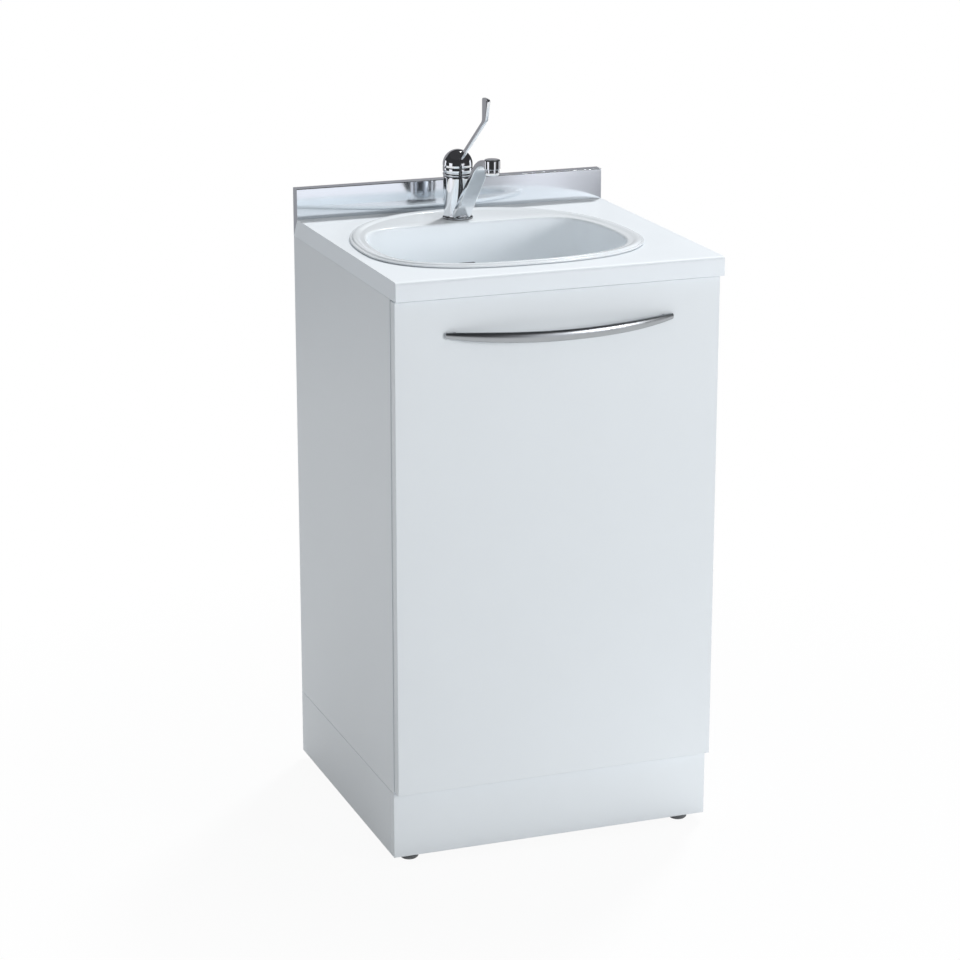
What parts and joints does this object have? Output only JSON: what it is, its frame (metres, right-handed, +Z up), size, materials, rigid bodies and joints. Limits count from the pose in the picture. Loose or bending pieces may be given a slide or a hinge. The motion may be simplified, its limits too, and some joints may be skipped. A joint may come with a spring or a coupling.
{
  "type": "medical sink cabinet",
  "caption": "Floor-standing clinic sink cabinet with a hinged door, worktop with upstand, drop-in oval basin, bottle trap and an elbow-lever mixer tap.",
  "frame": {"origin": "on the floor, under the middle of the cabinet's outline", "axes": "+Z up, the door faces -Y, +X to the right of someone facing the door"},
  "size_m": [0.5067, 0.5128, 1.0918],
  "materials": {
    "white_laminate": "melamine-faced chipboard, satin white",
    "worktop_laminate": "high-pressure laminate on chipboard, white",
    "back_sheet": "painted hardboard",
    "timber": "sawn softwood",
    "white_glaze": "glossy white",
    "polished_steel": "polished",
    "chrome": "polished",
    "satin_chrome": "satin",
    "zinc_steel": "zinc-plated",
    "grey_plastic": "moulded",
    "white_plastic": "moulded",
    "rubber": "matte",
    "white_silicone": "sealant bead"
  },
  "bodies": {
    "cabinet": {"side_panel_left": "white_laminate", "side_panel_right": "white_laminate", "bottom_panel": "white_laminate", "front_rail": "white_laminate", "rear_rail": "white_laminate", "back_panel": "back_sheet", "plinth_front": "white_laminate", "plinth_left": "white_laminate", "plinth_right": "white_laminate", "plinth_rear": "white_laminate", "corner_block_front_left": "timber", "corner_block_front_right": "timber", "corner_block_rear_left": "timber", "corner_block_rear_right": "timber", "worktop": "worktop_laminate", "upstand": "polished_steel", "basin": "white_glaze", "basin_seal": "white_silicone", "strainer": "chrome", "waste_gasket": "rubber", "waste_nut": "white_plastic", "tailpiece": "white_plastic", "trap_inlet_nut": "white_plastic", "trap_body": "white_plastic", "trap_cup": "white_plastic", "trap_outlet_nut": "white_plastic", "outlet_pipe": "white_plastic", "tap_body": "chrome", "aerator": "chrome", "cartridge": "white_plastic", "tap_collar": "chrome", "tap_gasket": "rubber", "tap_shank": "zinc_steel", "tap_washer": "zinc_steel", "tap_nut": "zinc_steel", "inlet_hot": "zinc_steel", "inlet_cold": "zinc_steel", "hinge_lower_frame_leaf": "zinc_steel", "hinge_lower_pin": "zinc_steel", "hinge_upper_frame_leaf": "zinc_steel", "hinge_upper_pin": "zinc_steel", "catch_body": "white_plastic"},
    "swinging_door": {"door": "white_laminate", "handle": "satin_chrome", "handle_screw_left": "zinc_steel", "handle_screw_right": "zinc_steel", "hinge_lower_door_leaf": "zinc_steel", "hinge_upper_door_leaf": "zinc_steel", "door_bumper_lower": "white_plastic", "door_bumper_upper": "white_plastic", "strike_plate": "zinc_steel"},
    "lever_swivel": {"lever_ball": "zinc_steel", "lever_pin": "zinc_steel"},
    "elbow_lever": {"lever": "chrome"},
    "screw_foot_front_left": {"foot_front_left": "grey_plastic"},
    "screw_foot_front_right": {"foot_front_right": "grey_plastic"},
    "screw_foot_rear_left": {"foot_rear_left": "grey_plastic"},
    "screw_foot_rear_right": {"foot_rear_right": "grey_plastic"}
  },
  "joints": [
    {"name": "door_hinge", "type": "hinge", "parent": "cabinet", "child": "swinging_door", "pos_m": [0.2533, -0.20295, 0.48], "axis": [0, 0, 1], "range_deg": [0, 170]},
    {"name": "tap_swivel", "type": "hinge", "parent": "cabinet", "child": "lever_swivel", "pos_m": [-0.021, 0.14955, 0.9733], "axis": [0, 0, 1], "range_deg": [-45, 45]},
    {"name": "tap_lift", "type": "hinge", "parent": "lever_swivel", "child": "elbow_lever", "pos_m": [-0.021, 0.14955, 0.9733], "axis": [-1, 0, 0], "range_deg": [0, 20]},
    {"name": "foot_screw_front_left", "type": "slide", "parent": "cabinet", "child": "screw_foot_front_left", "axis": [0, 0, -1], "range_m": [0, 0.015]},
    {"name": "foot_screw_front_right", "type": "slide", "parent": "cabinet", "child": "screw_foot_front_right", "axis": [0, 0, -1], "range_m": [0, 0.015]},
    {"name": "foot_screw_rear_left", "type": "slide", "parent": "cabinet", "child": "screw_foot_rear_left", "axis": [0, 0, -1], "range_m": [0, 0.015]},
    {"name": "foot_screw_rear_right", "type": "slide", "parent": "cabinet", "child": "screw_foot_rear_right", "axis": [0, 0, -1], "range_m": [0, 0.015]}
  ]
}
